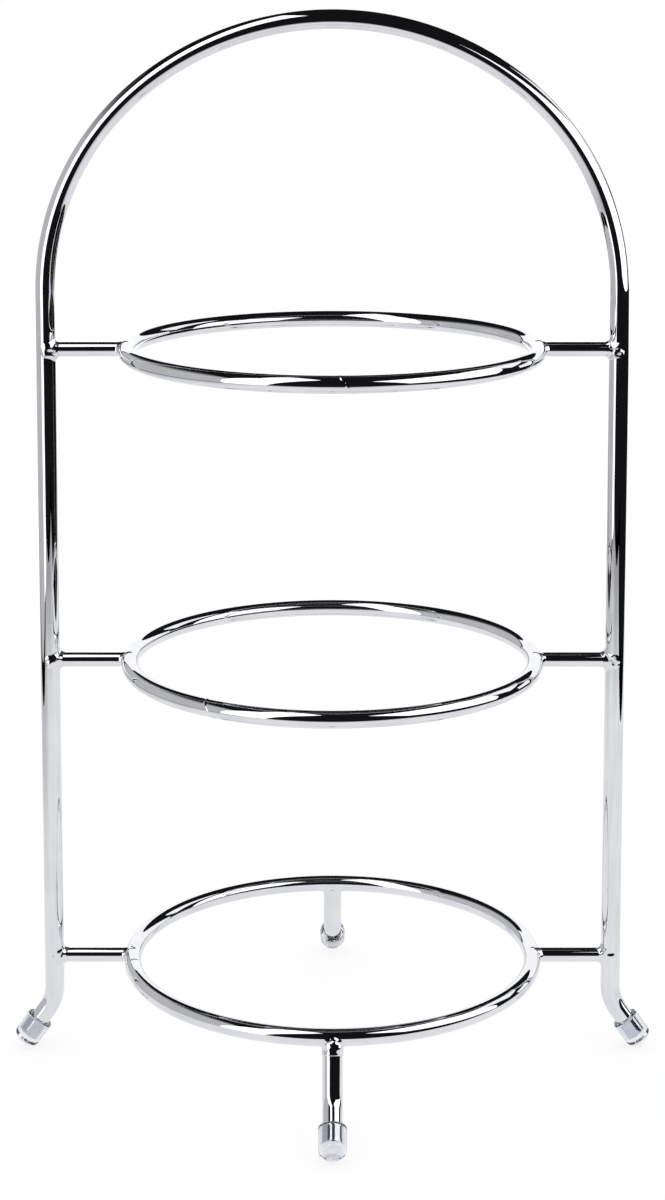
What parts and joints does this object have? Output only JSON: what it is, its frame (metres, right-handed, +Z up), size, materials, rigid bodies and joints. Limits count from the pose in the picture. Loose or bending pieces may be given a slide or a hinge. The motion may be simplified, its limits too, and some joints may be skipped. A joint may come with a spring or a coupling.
{
  "type": "tiered cake stand",
  "caption": "Wire cake stand: a bent hoop that is both handle and side feet carries plate rings one above another on short welded arms; clear caps on splayed feet.",
  "frame": {"origin": "on the floor, under the middle of the three rings", "axes": "+Z up; X from the left upright to the right upright; -Y is the front, the side of the front leg"},
  "size_m": [0.2676, 0.2248, 0.436],
  "materials": {
    "frame_wire": "polished chrome plate on 8 mm steel wire",
    "ring_wire": "polished chrome plate on 7 mm steel wire",
    "arm_wire": "polished chrome plate on 6 mm steel wire",
    "weld": "ground weld, plated over with the wire",
    "clear_cap": "clear soft plastic, glossy"
  },
  "bodies": {
    "root": {"hoop_frame": "frame_wire", "top_ring": "ring_wire", "middle_ring": "ring_wire", "bottom_ring": "ring_wire", "top_left_arm": "arm_wire", "top_right_arm": "arm_wire", "middle_left_arm": "arm_wire", "middle_right_arm": "arm_wire", "bottom_left_arm": "arm_wire", "bottom_right_arm": "arm_wire", "front_leg": "frame_wire", "rear_leg": "frame_wire", "top_left_upright_weld": "weld", "top_left_ring_weld": "weld", "top_right_upright_weld": "weld", "top_right_ring_weld": "weld", "middle_left_upright_weld": "weld", "middle_left_ring_weld": "weld", "middle_right_upright_weld": "weld", "middle_right_ring_weld": "weld", "bottom_left_upright_weld": "weld", "bottom_left_ring_weld": "weld", "bottom_right_upright_weld": "weld", "bottom_right_ring_weld": "weld", "front_leg_weld": "weld", "rear_leg_weld": "weld", "left_foot_cap": "clear_cap", "right_foot_cap": "clear_cap", "front_foot_cap": "clear_cap", "rear_foot_cap": "clear_cap"}
  },
  "joints": []
}
